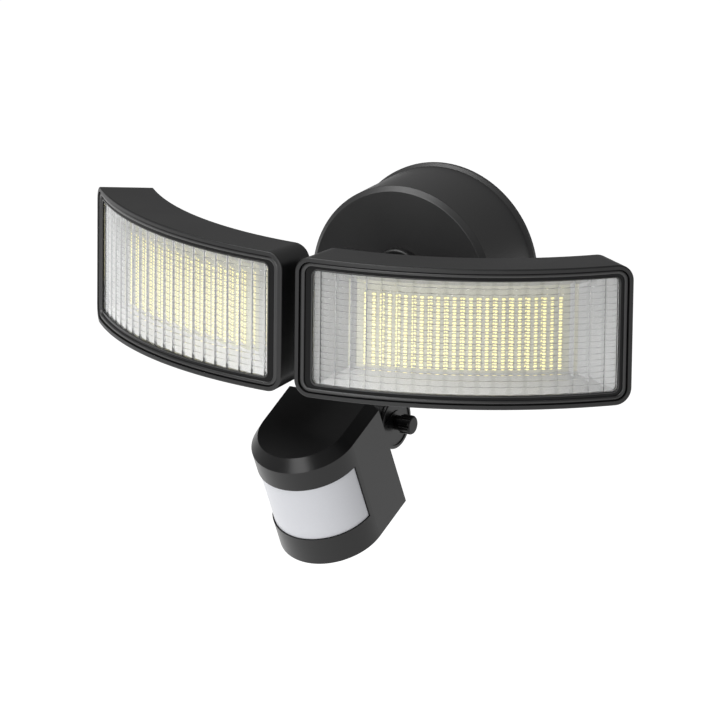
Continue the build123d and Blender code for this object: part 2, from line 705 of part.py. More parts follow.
def pcb_rail_block(side):
    """Rail from the side wall with a slot, closed below, that one edge of the board slides into."""
    bite = 1.2
    width = sensor_radius - sensor_wall / 2 - pcb_size[0] / 2 + bite
    low = (window_low + window_high - pcb_size[1]) / 2
    rail = Box(width, pcb_thickness + 2 * pcb_rail, pcb_size[1])
    slot = Pos(-width / 2, 0, pcb_rail) * Box(2 * (bite + seat_gap), pcb_thickness + seat_gap, pcb_size[1])
    middle_x = pcb_size[0] / 2 - bite + width / 2
    rail = Pos(middle_x, pcb_y, low + pcb_size[1] / 2 - pcb_rail) * (rail - slot)
    return rail if side > 0 else mirror(rail, about=Plane.YZ)


def bevelled(top):
    """Roof bevel round the front and sides, running out at the flat back."""
    wide = extrude(d_face(), sensor_shoulder)
    slope = loft([Pos(0, 0, sensor_shoulder) * d_face(), Pos(0, 0, top) * d_face(roof_inset)])
    return wide + slope


def dial_places():
    return [Pos(x * dial_spacing, dial_forward, 0) for x in (-1, 0, 1)]


def back_screw_places():
    side = sensor_radius - sensor_wall - back_screw_in
    heights = (sensor_wall + back_screw_low, sensor_shoulder - back_screw_high)
    return [Pos(x * side, 0, z) for x in (-1, 1) for z in heights]


def sensor_back():
    """Flat back cover with the neck and the right half of the tilt knuckle."""
    inset = sensor_wall + seat_gap
    width = 2 * (sensor_radius - inset)
    low, high = sensor_wall + seat_gap, sensor_shoulder - seat_gap
    body = Pos(0, sensor_straight - back_thickness / 2, (low + high) / 2) * Box(
        width, back_thickness, high - low)
    clear = sensor_knuckle_radius + 1.5
    hinge = Pos(0, sensor_straight + neck_length, neck_height)
    neck_end = sensor_straight + neck_length - clear
    body += Pos(0, 0, neck_height) * rod(neck_radius, sensor_straight - 1, neck_end)
    root = Pos(0, 0, neck_height) * rod(neck_radius * 1.35, sensor_straight - 1, sensor_straight + 3)
    body += fillet(root.edges().filter_by(GeomType.CIRCLE).sort_by(Axis.Y)[-1], 1.5)
    tongue_start = neck_end - 2.0
    tongue_end = sensor_straight + neck_length
    tongue = Pos(joint_gap + knuckle_thickness / 2, (tongue_start + tongue_end) / 2, neck_height) * Box(
        knuckle_thickness, tongue_end - tongue_start, 1.7 * neck_radius)
    body += tongue + hinge * knuckle_disc(sensor_knuckle_radius, 1)
    body -= hinge * rod(thumb_shank_radius + hole_fit, 0, knuckle_outside + 1, "X")
    for place in back_screw_places():
        body -= place * rod(back_screw_radius + hole_fit, sensor_straight - back_thickness - 1, sensor_straight + 1)
    return sensor_place * body


def sensor_back_screws():
    screw = Rot(0, 0, 180) * pan_head_screw(back_screw_radius, back_thickness + back_screw_grip, *back_screw_head)
    return sensor_place * Compound([place * Pos(0, sensor_straight, 0) * screw for place in back_screw_places()])


def arc_strip(outer, thickness, low, high, end):
    """Half-round strip of the window between two heights, stopping in front of the centre."""
    strip = rod(outer, low, high, "Z") - rod(outer - thickness, low - 1, high + 1, "Z")
    keep = Pos(0, -2 * sensor_radius - end, (low + high) / 2) * Box(
        4 * sensor_radius, 4 * sensor_radius, 2 * (high - low))
    return strip & keep


def sensor_window():
    """Milky half-round lens, with a lap behind the edges of the housing's opening."""
    face_radius = sensor_radius - sensor_window_recess
    pane = arc_strip(face_radius, sensor_window_thickness + sensor_window_seat, window_low + seat_gap / 2,
                     window_high - seat_gap / 2, window_end + seat_gap / 2)
    lap_radius = sensor_radius - sensor_wall - seat_gap / 3
    lap = arc_strip(lap_radius, sensor_window_thickness, window_low - sensor_window_lap,
                    window_high + sensor_window_lap, window_end - sensor_window_lap)
    return sensor_place * (pane + lap)


def sensor_pcb():
    middle = (window_low + window_high) / 2
    return sensor_place * Pos(0, pcb_y, middle) * Box(pcb_size[0], pcb_thickness, pcb_size[1])


def pir_element():
    """Metal can with its square filter, on the board's front at the middle of the window."""
    middle = (window_low + window_high) / 2
    face = pcb_y - pcb_thickness / 2
    can = rod(pir_radius, face - pir_height, face)
    can = fillet(can.edges().filter_by(GeomType.CIRCLE).sort_by(Axis.Y)[0], 0.6)
    can += rod(pir_radius + 0.7, face - 0.6, face)
    can -= Pos(0, face - pir_height, 0) * Box(3.6, 0.5, 2.6)
    return sensor_place * Pos(0, 0, middle) * can


def photocell():
    middle = (window_low + window_high) / 2
    face = pcb_y - pcb_thickness / 2
    x, rise = photocell_place
    return sensor_place * Pos(x, 0, middle + rise) * rod(photocell_radius, face - photocell_height, face)


def dial_board():
    """Small board above the floor, held by four pegs, with one potentiometer for each dial."""
    width, depth = dial_board_size
    level = sensor_wall + dial_board_gap
    body = Pos(0, dial_forward, level + pcb_thickness / 2) * Box(width, depth, pcb_thickness)
    for place in dial_places():
        side, tall = dial_pot_size
        body += place * Pos(0, 0, level - tall / 2) * Box(side, side, tall)
        body -= place * rod(dial_shaft_radius + pin_fit, level - 4, level + pcb_thickness + 1, "Z")
    for x in (-1, 1):
        for y in (-1, 1):
            body += Pos(x * (width / 2 - 2), dial_forward + y * (depth / 2 - 2), 0) * rod(
                dial_peg_radius, sensor_wall, level, "Z")
    return sensor_place * body


def dial(place):
    """Slotted dial under the sensor, its shaft up into the potentiometer."""
    level = sensor_wall + dial_board_gap
    knob = rod(dial_radius, -dial_height / 2, sensor_wall, "Z")
    knob = fillet(knob.edges().filter_by(GeomType.CIRCLE).sort_by(Axis.Z)[0], 0.5)
    knob -= Pos(0, 0, -dial_height / 2) * Box(2 * dial_radius, dial_slot, 1.6)
    return sensor_place * place * (knob + rod(dial_shaft_radius, 0, level + 1, "Z"))


# ---------------------------------------------------------------- write every piece

save("canopy_housing", canopy_housing())
save("canopy_gasket", canopy_gasket())
save("crossbar", crossbar())
save("canopy_screws", canopy_screws())
save("ground_screw", ground_screw())
save("driver_box", driver_box())
save("driver_screws", driver_screws())
save("terminal_block", terminal_block())
save("arm_hub", arm_hub())
save("hub_nut", lock_nut(head_z))
save("pan_bolts", pan_bolts())
save("pan_nuts", pan_nuts())
save("sensor_elbow", sensor_elbow())
save("elbow_nut", lock_nut(elbow_z))

tilt_place = Pos(tilt_x, tilt_y, head_z)
both_sides("arm", head_arm())
both_sides("tilt_nut", tilt_place * clamp_nut())
both_sides("tilt_knob", tilt_place * thumbscrew())
both_sides("head_housing", head_place * head_housing())
both_sides("head_seal", head_place * lens_seal())
both_sides("head_lens", head_place * lens())
both_sides("reflector", head_place * reflector())
both_sides("led_board", head_place * led_board())
both_sides("leds", head_place * leds())
both_sides("head_bracket", head_bracket())
both_sides("bracket_screws", bracket_screws())

save("sensor_swivel", sensor_swivel())
save("sensor_tilt_nut", hinge_place * clamp_nut())
save("sensor_tilt_knob", hinge_place * thumbscrew())
save("sensor_housing", sensor_housing())
save("sensor_back", sensor_back())
save("sensor_back_screws", sensor_back_screws())
save("sensor_window", sensor_window())
save("sensor_pcb", sensor_pcb())
save("pir_element", pir_element())
save("photocell", photocell())
save("dial_board", dial_board())
for name, place in zip(("time_dial", "range_dial", "dusk_dial"), dial_places()):
    save(name, dial(place))
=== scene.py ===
import bmesh
import bpy
import json
import math
from mathutils import Matrix, Vector


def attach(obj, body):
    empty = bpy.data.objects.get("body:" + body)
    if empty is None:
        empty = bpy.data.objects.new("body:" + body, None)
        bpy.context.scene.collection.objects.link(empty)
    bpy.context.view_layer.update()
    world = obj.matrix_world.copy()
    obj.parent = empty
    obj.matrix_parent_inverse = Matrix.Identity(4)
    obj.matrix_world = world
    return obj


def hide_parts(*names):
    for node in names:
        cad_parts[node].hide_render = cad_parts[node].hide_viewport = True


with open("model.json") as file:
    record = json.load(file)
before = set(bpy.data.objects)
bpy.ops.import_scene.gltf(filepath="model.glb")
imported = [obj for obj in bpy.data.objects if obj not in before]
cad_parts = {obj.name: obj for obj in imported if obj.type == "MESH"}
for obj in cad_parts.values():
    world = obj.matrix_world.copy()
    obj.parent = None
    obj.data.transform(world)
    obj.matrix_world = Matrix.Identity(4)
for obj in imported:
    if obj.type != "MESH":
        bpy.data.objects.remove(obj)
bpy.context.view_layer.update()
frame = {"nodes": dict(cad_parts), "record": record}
nodes = frame["nodes"]
scene = bpy.context.scene
mm = 0.001
print("frame loaded:", len(nodes), "CAD nodes")


def addNode(tree, kind, place=(0, 0), **settings):  # settings are input sockets or the node's own choices
    node = tree.nodes.new(kind)
    node.location = place
    for key, value in settings.items():
        if key in node.inputs:
            node.inputs[key].default_value = value
        else:
            setattr(node, key, value)
    return node


def makeGroup(name, inputs, outputs):
    group = bpy.data.node_groups.new(name, "ShaderNodeTree")
    for label, kind, value in inputs:
        socket = group.interface.new_socket(label, in_out="INPUT", socket_type=kind)
        socket.default_value = value
    for label, kind in outputs:
        group.interface.new_socket(label, in_out="OUTPUT", socket_type=kind)
    start = group.nodes.new("NodeGroupInput")
    start.location = (-900, 0)
    end = group.nodes.new("NodeGroupOutput")
    end.location = (700, 0)
    return group, start, end


grainValues = {  # what every grained finish shares
    "noiseRoughness": 0.55, "grainDetail": 2.0, "patchDetail": 4.0, "grainShare": 0.5, "bumpHeight": 0.0001,
    "coatRoughness": 0.1,
}


def noiseAt(tree, start, scaleName, detail, place):
    coords = addNode(tree, "ShaderNodeTexCoord", (place[0] - 400, place[1]))
    noise = addNode(tree, "ShaderNodeTexNoise", place, Detail=detail, Roughness=grainValues["noiseRoughness"])
    tree.links.new(coords.outputs["Object"], noise.inputs["Vector"])
    tree.links.new(start.outputs[scaleName], noise.inputs["Scale"])
    return noise


def speckleGroup():  # powder coat or moulded grain: a height, and swings of the roughness and the tone
    group, start, end = makeGroup(
        "speckleGrain",
        [("Grain Scale", "NodeSocketFloat", 900.0), ("Patch Scale", "NodeSocketFloat", 30.0),
         ("Base Roughness", "NodeSocketFloat", 0.4), ("Roughness Swing", "NodeSocketFloat", 0.1),
         ("Dark Tone", "NodeSocketColor", (0.02, 0.02, 0.02, 1)),
         ("Light Tone", "NodeSocketColor", (0.04, 0.04, 0.04, 1))],
        [("Color", "NodeSocketColor"), ("Roughness", "NodeSocketFloat"), ("Height", "NodeSocketFloat")])
    grain = noiseAt(group, start, "Grain Scale", grainValues["grainDetail"], (-600, 300))
    patch = noiseAt(group, start, "Patch Scale", grainValues["patchDetail"], (-600, -100))
    centred = addNode(group, "ShaderNodeMath", (-400, -100), operation="SUBTRACT")
    centred.inputs[1].default_value = 0.5  # the middle of the noise
    swing = addNode(group, "ShaderNodeMath", (-200, 0), operation="MULTIPLY_ADD")
    blend = addNode(group, "ShaderNodeMath", (-200, 250), operation="MULTIPLY_ADD")
    blend.inputs[1].default_value = grainValues["grainShare"]
    tone = addNode(group, "ShaderNodeMix", (200, 200), data_type="RGBA")
    link = group.links.new
    link(patch.outputs["Fac"], centred.inputs[0])
    link(centred.outputs[0], swing.inputs[0])
    link(start.outputs["Roughness Swing"], swing.inputs[1])
    link(start.outputs["Base Roughness"], swing.inputs[2])
    link(grain.outputs["Fac"], blend.inputs[0])
    link(centred.outputs[0], blend.inputs[2])
    link(blend.outputs[0], tone.inputs["Factor"])
    link(start.outputs["Dark Tone"], tone.inputs["A"])
    link(start.outputs["Light Tone"], tone.inputs["B"])
    link(tone.outputs["Result"], end.inputs["Color"])
    link(swing.outputs[0], end.inputs["Roughness"])
    link(grain.outputs["Fac"], end.inputs["Height"])
    return group


speckle = speckleGroup()


def grainedMaterial(name, dark, light, roughness, swing=0.1, grain=900.0, patch=30.0, bump=0.15,
                    metallic=0.0, specular=0.5, coat=0.0, emission=None):
    material = bpy.data.materials.new(name)
    material.use_nodes = True
    tree = material.node_tree
    shader = tree.nodes["Principled BSDF"]
    group = addNode(tree, "ShaderNodeGroup", (-600, 0), node_tree=speckle)
    for key, value in (("Grain Scale", grain), ("Patch Scale", patch), ("Base Roughness", roughness),
                       ("Roughness Swing", swing), ("Dark Tone", (*dark, 1)), ("Light Tone", (*light, 1))):
        group.inputs[key].default_value = value
    bumpNode = addNode(tree, "ShaderNodeBump", (-300, -250), Strength=bump, Distance=grainValues["bumpHeight"])
    tree.links.new(group.outputs["Color"], shader.inputs["Base Color"])
    tree.links.new(group.outputs["Roughness"], shader.inputs["Roughness"])
    tree.links.new(group.outputs["Height"], bumpNode.inputs["Height"])
    tree.links.new(bumpNode.outputs["Normal"], shader.inputs["Normal"])
    shader.inputs["Metallic"].default_value = metallic
    shader.inputs["Specular IOR Level"].default_value = specular
    shader.inputs["Coat Weight"].default_value = coat
    shader.inputs["Coat Roughness"].default_value = grainValues["coatRoughness"]
    if emission:
        color, strength = emission
        shader.inputs["Emission Color"].default_value = (*color, 1)
        shader.inputs["Emission Strength"].default_value = strength
    return material


clearValues = {
    "tint": (0.985, 0.99, 0.99), "roughness": 0.03, "ior": 1.49, "waveScale": 60.0, "waveDetail": 2.0,
    "waveStrength": 0.04, "waveHeight": 0.0004,
}


def clearMaterial(name):  # clear plastic: shadow rays pass, so the inside is lit
    v = clearValues
    material = bpy.data.materials.new(name)
    material.use_nodes = True
    tree = material.node_tree
    shader = tree.nodes["Principled BSDF"]
    shader.inputs["Base Color"].default_value = (*v["tint"], 1)
    shader.inputs["Roughness"].default_value = v["roughness"]
    shader.inputs["IOR"].default_value = v["ior"]
    shader.inputs["Transmission Weight"].default_value = 1.0
    coords = addNode(tree, "ShaderNodeTexCoord", (-900, -200))
    noise = addNode(tree, "ShaderNodeTexNoise", (-650, -200), Scale=v["waveScale"], Detail=v["waveDetail"])
    bumpNode = addNode(tree, "ShaderNodeBump", (-300, -250), Strength=v["waveStrength"],
                       Distance=v["waveHeight"])
    tree.links.new(coords.outputs["Object"], noise.inputs["Vector"])
    tree.links.new(noise.outputs["Fac"], bumpNode.inputs["Height"])
    tree.links.new(bumpNode.outputs["Normal"], shader.inputs["Normal"])
    through = addNode(tree, "ShaderNodeBsdfTransparent", (100, -300))
    rays = addNode(tree, "ShaderNodeLightPath", (100, 400))
    mix = addNode(tree, "ShaderNodeMixShader", (350, 100))
    tree.links.new(rays.outputs["Is Shadow Ray"], mix.inputs["Fac"])
    tree.links.new(shader.outputs["BSDF"], mix.inputs[1])
    tree.links.new(through.outputs["BSDF"], mix.inputs[2])
    tree.links.new(mix.outputs["Shader"], tree.nodes["Material Output"].inputs["Surface"])
    return material


finishValues = {  # darkest and lightest tone, roughness, and what differs from the usual grain
    "blackPowderCoat": ((0.004, 0.004, 0.0042), (0.008, 0.008, 0.0082), 0.44, {"grain": 1400, "bump": 0.22}),
    # the canopy's paler tones are a painted highlight that lifts its front face
    "canopyCoatWithPaintedSheen": ((0.022, 0.022, 0.0222), (0.03, 0.03, 0.0302), 0.4, {"grain": 1400, "bump": 0.22}),
    "blackMoulded": ((0.004, 0.004, 0.0042), (0.008, 0.008, 0.0082), 0.3,
                     {"grain": 1800, "bump": 0.14, "specular": 0.33}),
    "knobBlack": ((0.003, 0.003, 0.0032), (0.006, 0.006, 0.0062), 0.32, {"grain": 1500, "specular": 0.2}),
    "coverBorder": ((0.002, 0.002, 0.0022), (0.004, 0.004, 0.0042), 0.2,
                    {"swing": 0.06, "grain": 700, "bump": 0.03, "specular": 0.2}),
    "coverBead": ((0.014, 0.014, 0.0142), (0.02, 0.02, 0.0202), 0.36,
                  {"grain": 1500, "bump": 0.1, "specular": 0.6}),
    "reflectorWhite": ((0.39, 0.39, 0.39), (0.45, 0.45, 0.45), 0.3, {"swing": 0.05, "grain": 400, "bump": 0.03}),
    "boardWhite": ((0.46, 0.45, 0.38), (0.54, 0.53, 0.45), 0.45, {"grain": 500, "bump": 0.05}),
    "ledCase": ((0.5, 0.47, 0.34), (0.58, 0.55, 0.4), 0.35, {"bump": 0.05}),
    # phosphor dots with a painted glow: the emission lifts their brightness, and the LEDs are not lit
    "phosphorWithPaintedGlow": ((0.92, 0.82, 0.34), (0.97, 0.89, 0.46), 0.35,
                 {"grain": 2500, "bump": 0.1, "emission": ((1.0, 0.9, 0.46), 0.6)}),
    "blackRubber": ((0.006, 0.006, 0.006), (0.012, 0.012, 0.012), 0.6, {"grain": 1200}),
    "greyFoam": ((0.02, 0.02, 0.02), (0.04, 0.04, 0.04), 0.9, {"grain": 2500, "bump": 0.6}),
    "zincSteel": ((0.55, 0.56, 0.57), (0.68, 0.68, 0.68), 0.32,
                  {"grain": 250, "patch": 80, "metallic": 1.0, "bump": 0.06}),
    "blackScrew": ((0.012, 0.012, 0.0125), (0.024, 0.024, 0.0245), 0.3, {"grain": 1200}),
    "earthGreen": ((0.03, 0.22, 0.07), (0.06, 0.32, 0.12), 0.35, {"metallic": 0.6}),
    "paleCase": ((0.72, 0.72, 0.7), (0.78, 0.78, 0.76), 0.45, {}),
    "milkyStrip": ((0.7, 0.69, 0.64), (0.78, 0.77, 0.72), 0.35, {}),
    "milkyWindow": ((0.75, 0.76, 0.8), (0.8, 0.81, 0.85), 0.3, {"swing": 0.05, "grain": 700, "bump": 0.04}),
    "boardGreen": ((0.012, 0.1, 0.04), (0.025, 0.15, 0.06), 0.35, {"grain": 600}),
    "nickelCan": ((0.6, 0.59, 0.56), (0.7, 0.69, 0.66), 0.25, {"metallic": 1.0, "grain": 300}),
    "amberCell": ((0.4, 0.12, 0.03), (0.6, 0.22, 0.06), 0.2, {"coat": 0.5}),
    "dialGrey": ((0.1, 0.1, 0.105), (0.14, 0.14, 0.145), 0.4, {"grain": 1500}),
}
finishes = {name: grainedMaterial(name, dark, light, roughness, **rest)
            for name, (dark, light, roughness, rest) in finishValues.items()}
finishes["clearLens"] = clearMaterial("clearLens")

slotFinish = {
    "black_cast_metal": "blackPowderCoat", "black_plastic": "blackMoulded", "knob_plastic": "knobBlack",
    "clear_lens": "clearLens", "reflector_white": "reflectorWhite", "board_white": "boardWhite",
    "led_yellow": "phosphorWithPaintedGlow", "black_rubber": "blackRubber", "grey_foam": "greyFoam",
    "zinc_steel": "zincSteel", "black_screw": "blackScrew", "green_earth": "earthGreen",
    "driver_case": "paleCase", "terminal_white": "milkyStrip", "milky_window": "milkyWindow",
    "board_green": "boardGreen", "detector_can": "nickelCan", "cell_amber": "amberCell", "dial_grey": "dialGrey",
}
for part in frame["record"]["subparts"]:
    mesh = nodes[part["node"]].data
    finish = finishes[slotFinish[part["material_slot"]]]
    if not mesh.materials:
        mesh.materials.append(finish)
    for index in range(len(mesh.materials)):
        mesh.materials[index] = finish
nodes["canopy_housing"].data.materials[0] = finishes["canopyCoatWithPaintedSheen"]  # a paler base than the arms have: painted highlight, standing in for the sheen on the canopy's front face
print("materials made:", len(finishes))


# Geometry Nodes helpers: a tree with named inputs, and a run of it that gives a plain mesh.
def geometryTree(name, inputs):
    tree = bpy.data.node_groups.new(name, "GeometryNodeTree")
    tree.is_modifier = True
    tree.interface.new_socket("Geometry", in_out="INPUT", socket_type="NodeSocketGeometry")
    for label, kind, value in inputs:
        socket = tree.interface.new_socket(label, in_out="INPUT", socket_type=kind)
        if value is not None:
            socket.default_value = value
    tree.interface.new_socket("Geometry", in_out="OUTPUT", socket_type="NodeSocketGeometry")
    return tree, tree.nodes.new("NodeGroupInput"), tree.nodes.new("NodeGroupOutput")


def calc(tree, operation, *values):
    node = tree.nodes.new("ShaderNodeMath")
    node.operation = operation
    for index, value in enumerate(values):
        if isinstance(value, (int, float)):
            node.inputs[index].default_value = value
        else:
            tree.links.new(value, node.inputs[index])
    return node.outputs[0]


def xyz(tree, x, y, z):
    node = tree.nodes.new("ShaderNodeCombineXYZ")
    for index, value in enumerate((x, y, z)):
        if isinstance(value, (int, float)):
            node.inputs[index].default_value = value
        else:
            tree.links.new(value, node.inputs[index])
    return node.outputs[0]


def aroundAxis(tree, radius, angle, z):  # a point at an angle from straight ahead
    forward = calc(tree, "MULTIPLY", radius, calc(tree, "COSINE", angle))
    return xyz(tree, calc(tree, "MULTIPLY", radius, calc(tree, "SINE", angle)),
               calc(tree, "MULTIPLY", forward, -1.0), z)


def endTree(tree, start, end, geometry):  # every tree ends in Realize Instances and Set Material
    realize = tree.nodes.new("GeometryNodeRealizeInstances")
    paint = tree.nodes.new("GeometryNodeSetMaterial")
    tree.links.new(geometry, realize.inputs["Geometry"])
    tree.links.new(realize.outputs["Geometry"], paint.inputs["Geometry"])
    tree.links.new(start.outputs["Material"], paint.inputs["Material"])
    tree.links.new(paint.outputs["Geometry"], end.inputs["Geometry"])


def runTree(name, baseMesh, tree, values):
    carrier = bpy.data.objects.new(name + "Carrier", baseMesh)
    scene.collection.objects.link(carrier)
    modifier = carrier.modifiers.new(tree.name, "NODES")
    modifier.node_group = tree
    for item in tree.interface.items_tree:
        if item.item_type == "SOCKET" and item.in_out == "INPUT" and item.name in values:
            modifier[item.identifier] = values[item.name]
    bpy.context.view_layer.update()
    evaluated = carrier.evaluated_get(bpy.context.evaluated_depsgraph_get())
    mesh = bpy.data.meshes.new_from_object(evaluated)
    carrier.modifiers.remove(modifier)
    bpy.data.objects.remove(carrier)
    mesh.name = name
    return mesh


def addPiece(name, mesh, body, replaced, sharpAngle):
    mesh.name = name
    mesh.shade_smooth()
    mesh.set_sharp_from_angle(angle=math.radians(sharpAngle))
    piece = bpy.data.objects.new(name, mesh)
    scene.collection.objects.link(piece)
    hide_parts(replaced)
    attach(piece, body)
    print(name + ":", len(mesh.polygons), "faces")


# Light heads. Both are curved about a vertical axis; the left one is the right one mirrored.
head = {  # millimetres and degrees, as in the solids
    "axisY": 36.48, "centreZ": 7.3, "yaw": 26.1, "radius": 220.0, "halfAngle": 25.1, "height": 80.0,
    "corner": 9.5, "restPan": -1.25, "panX": 20.0, "panY": -82.0,
}


def frontPoint(radius, angle, z):  # angle in degrees from the head's middle
    turn = math.radians(angle)
    return Vector((radius * math.sin(turn), -radius * math.cos(turn), z))


def placeHead(mesh, side):
    place = Matrix.Translation((0, head["axisY"] * mm, head["centreZ"] * mm)) @ Matrix.Rotation(
        math.radians(head["yaw"]), 4, "Z")
    if side == "left":
        place = Matrix.Scale(-1, 4, (1, 0, 0)) @ place
    pivot = Vector((head["panX"] if side == "right" else -head["panX"], head["panY"], 0)) * mm
    pan = Matrix.Rotation(math.radians(head["restPan"]), 4, "Z")
    mesh.transform(Matrix.Translation(pivot) @ pan @ Matrix.Translation(-pivot) @ place)
    if side == "left":
        mesh.flip_normals()


def meshFrom(bm, name):
    bmesh.ops.recalc_face_normals(bm, faces=bm.faces)
    mesh = bpy.data.meshes.new(name)
    bm.to_mesh(mesh)
    bm.free()
    mesh.transform(Matrix.Scale(mm, 4))
    return mesh


lensValues = {  # the window; column pitch and phase in degrees, rib widths in shares of a facet
    "front": 217.0, "back": 215.0, "edge": 7.72, "innerEnd": 10.42, "outerEnd": 7.82, "corner": 3.0,
    "thinnest": 0.7, "columnPitch": 2.37, "columnPhase": 2.233, "rowPitch": 3.5, "ridgeAcross": 1.2,
    "ridgeUp": 0.12, "ribAcross": 0.035, "ribUp": 0.06, "columnRib": 0.03, "rowRib": 0.1, "acrossSteps": 8,
    "upSteps": 4, "cornerSteps": 6, "nearest": 0.02, "sharpAngle": 18,
}
perMm = math.degrees(1 / head["radius"])  # degrees round the axis for a millimetre along the front


def gridLines(low, high, pitch, phase, steps, rib, corner):  # where the window's grid lines stand
    v = lensValues
    lines = {round(end + sign * corner * t / v["cornerSteps"], 6)
             for end, sign in ((low, 1), (high, -1)) for t in range(v["cornerSteps"] + 1)}
    shares = [step / steps for step in range(steps)] + [rib, 1 - rib]
    cell = math.floor((low - phase) / pitch)
    while phase + cell * pitch < high:
        for share in shares:
            value = phase + (cell + share) * pitch
            if low + corner + v["nearest"] < value < high - corner - v["nearest"]:
                lines.add(round(value, 6))
        cell += 1
    return sorted(lines)


def lensBlank():  # closed slab with a fine grid on both faces; the inner face is marked for the facets
    v = lensValues
    box = (-head["halfAngle"] + v["innerEnd"] * perMm, head["halfAngle"] - v["outerEnd"] * perMm,
           -head["height"] / 2 + v["edge"], head["height"] / 2 - v["edge"])
    corner = v["corner"]
    across = gridLines(box[0], box[1], v["columnPitch"], v["columnPhase"], v["acrossSteps"], v["ribAcross"],
                       corner * perMm)
    up = gridLines(box[2], box[3], v["rowPitch"], 0.0, v["upSteps"], v["ribUp"], corner)
    lowA, highA = box[0] + corner * perMm, box[1] - corner * perMm
    lowZ, highZ = box[2] + corner, box[3] - corner

    def rounded(a, z):  # pulls the corner squares of the grid onto round corners
        baseA, baseZ = min(max(a, lowA), highA), min(max(z, lowZ), highZ)
        da, dz = (a - baseA) / perMm, z - baseZ
        if abs(da) < 1e-6 or abs(dz) < 1e-6:
            return a, z
        shrink = max(abs(da), abs(dz)) / math.hypot(da, dz)
        return baseA + da * shrink * perMm, baseZ + dz * shrink

    bm = bmesh.new()
    mark = bm.verts.layers.float.new("faceted")
    front, back = {}, {}
    for i, a in enumerate(across):
        for j, z in enumerate(up):
            spot = rounded(a, z)
            front[i, j] = bm.verts.new(frontPoint(v["front"], *spot))
            back[i, j] = bm.verts.new(frontPoint(v["back"], *spot))
            back[i, j][mark] = 1.0
    n, m = len(across) - 1, len(up) - 1
    for i in range(n):
        for j in range(m):
            bm.faces.new((front[i, j], front[i + 1, j], front[i + 1, j + 1], front[i, j + 1]))
            bm.faces.new((back[i, j + 1], back[i + 1, j + 1], back[i + 1, j], back[i, j]))
    rim = ([(i, 0) for i in range(n)] + [(n, j) for j in range(m)]
           + [(i, m) for i in range(n, 0, -1)] + [(0, j) for j in range(m, 0, -1)])
    for k, key in enumerate(rim):
        after = rim[(k + 1) % len(rim)]
        bm.faces.new((front[key], front[after], back[after], back[key]))
    return meshFrom(bm, "lensBlank")


def lensFacetTree():  # dishes the marked face in rows and columns of pillow facets with low ribs between
    tree, start, end = geometryTree("lensFacets", [
        ("Column Pitch", "NodeSocketFloat", 2.4), ("Column Phase", "NodeSocketFloat", 0.0),
        ("Row Pitch", "NodeSocketFloat", 0.004), ("Ridge Across", "NodeSocketFloat", 0.0006),
        ("Ridge Up", "NodeSocketFloat", 0.0003), ("Rib Across", "NodeSocketFloat", 0.04),
        ("Rib Up", "NodeSocketFloat", 0.06), ("Column Rib", "NodeSocketFloat", 0.0002),
        ("Row Rib", "NodeSocketFloat", 0.0003), ("Thinnest", "NodeSocketFloat", 0.001),
        ("Front Radius", "NodeSocketFloat", 0.217), ("Material", "NodeSocketMaterial", None)])
    get = start.outputs
    position = tree.nodes.new("GeometryNodeInputPosition")
    split = tree.nodes.new("ShaderNodeSeparateXYZ")
    tree.links.new(position.outputs[0], split.inputs[0])
    x, y, z = split.outputs
    angle = calc(tree, "ARCTAN2", x, calc(tree, "MULTIPLY", y, -1.0))
    fromPhase = calc(tree, "SUBTRACT", calc(tree, "DEGREES", angle), get["Column Phase"])
    columns = calc(tree, "DIVIDE", fromPhase, get["Column Pitch"])
    rows = calc(tree, "DIVIDE", z, get["Row Pitch"])

    def offMiddle(place):  # 0 in a facet's middle, 1 along its border
        centred = calc(tree, "SUBTRACT", calc(tree, "FRACT", place), 0.5)
        return calc(tree, "ABSOLUTE", calc(tree, "MULTIPLY", centred, 2.0))

    def bowl(place, height):
        return calc(tree, "MULTIPLY", calc(tree, "POWER", offMiddle(place), 2.0), height)

    def rib(place, halfWidth, height):  # steep sides close to a facet's border
        wide = calc(tree, "MULTIPLY", halfWidth, 2.0)
        rise = calc(tree, "SUBTRACT", offMiddle(place), calc(tree, "SUBTRACT", 1.0, wide))
        return calc(tree, "MULTIPLY", calc(tree, "MAXIMUM", calc(tree, "DIVIDE", rise, wide), 0.0), height)

    bowls = calc(tree, "ADD", bowl(columns, get["Ridge Across"]), bowl(rows, get["Ridge Up"]))
    ribs = calc(tree, "MAXIMUM", rib(columns, get["Rib Across"], get["Column Rib"]),
                rib(rows, get["Rib Up"], get["Row Rib"]))
    thickness = calc(tree, "ADD", calc(tree, "ADD", get["Thinnest"], ribs), bowls)
    radius = calc(tree, "SUBTRACT", get["Front Radius"], thickness)
    marked = tree.nodes.new("GeometryNodeInputNamedAttribute")
    marked.data_type = "FLOAT"
    marked.inputs["Name"].default_value = "faceted"
    move = tree.nodes.new("GeometryNodeSetPosition")
    tree.links.new(get["Geometry"], move.inputs["Geometry"])
    tree.links.new(calc(tree, "GREATER_THAN", marked.outputs["Attribute"], 0.5), move.inputs["Selection"])
    tree.links.new(aroundAxis(tree, radius, angle, z), move.inputs["Position"])
    endTree(tree, start, end, move.outputs["Geometry"])
    return tree


borderValues = {  # the cover's border: distances in from the head's edge, radii and small steps
    "outer": 2.9, "beadEnd": 5.2, "top": 219.2, "band": 218.0, "back": 217.2, "low": 215.0,
    "edge": 7.7, "innerEnd": 10.4, "outerEnd": 7.8, "wall": 1.8, "trim": 0.9, "trimRise": 0.4,
    "chamfer": 0.2, "lap": 0.1, "beadShare": 0.2, "bandShare": 0.3, "shoulder": 0.3, "squareness": 0.4,
    "alongSteps": 44, "cornerSteps": 6, "crownSteps": 8, "bandSharpAngle": 32, "beadSharpAngle": 40,
}


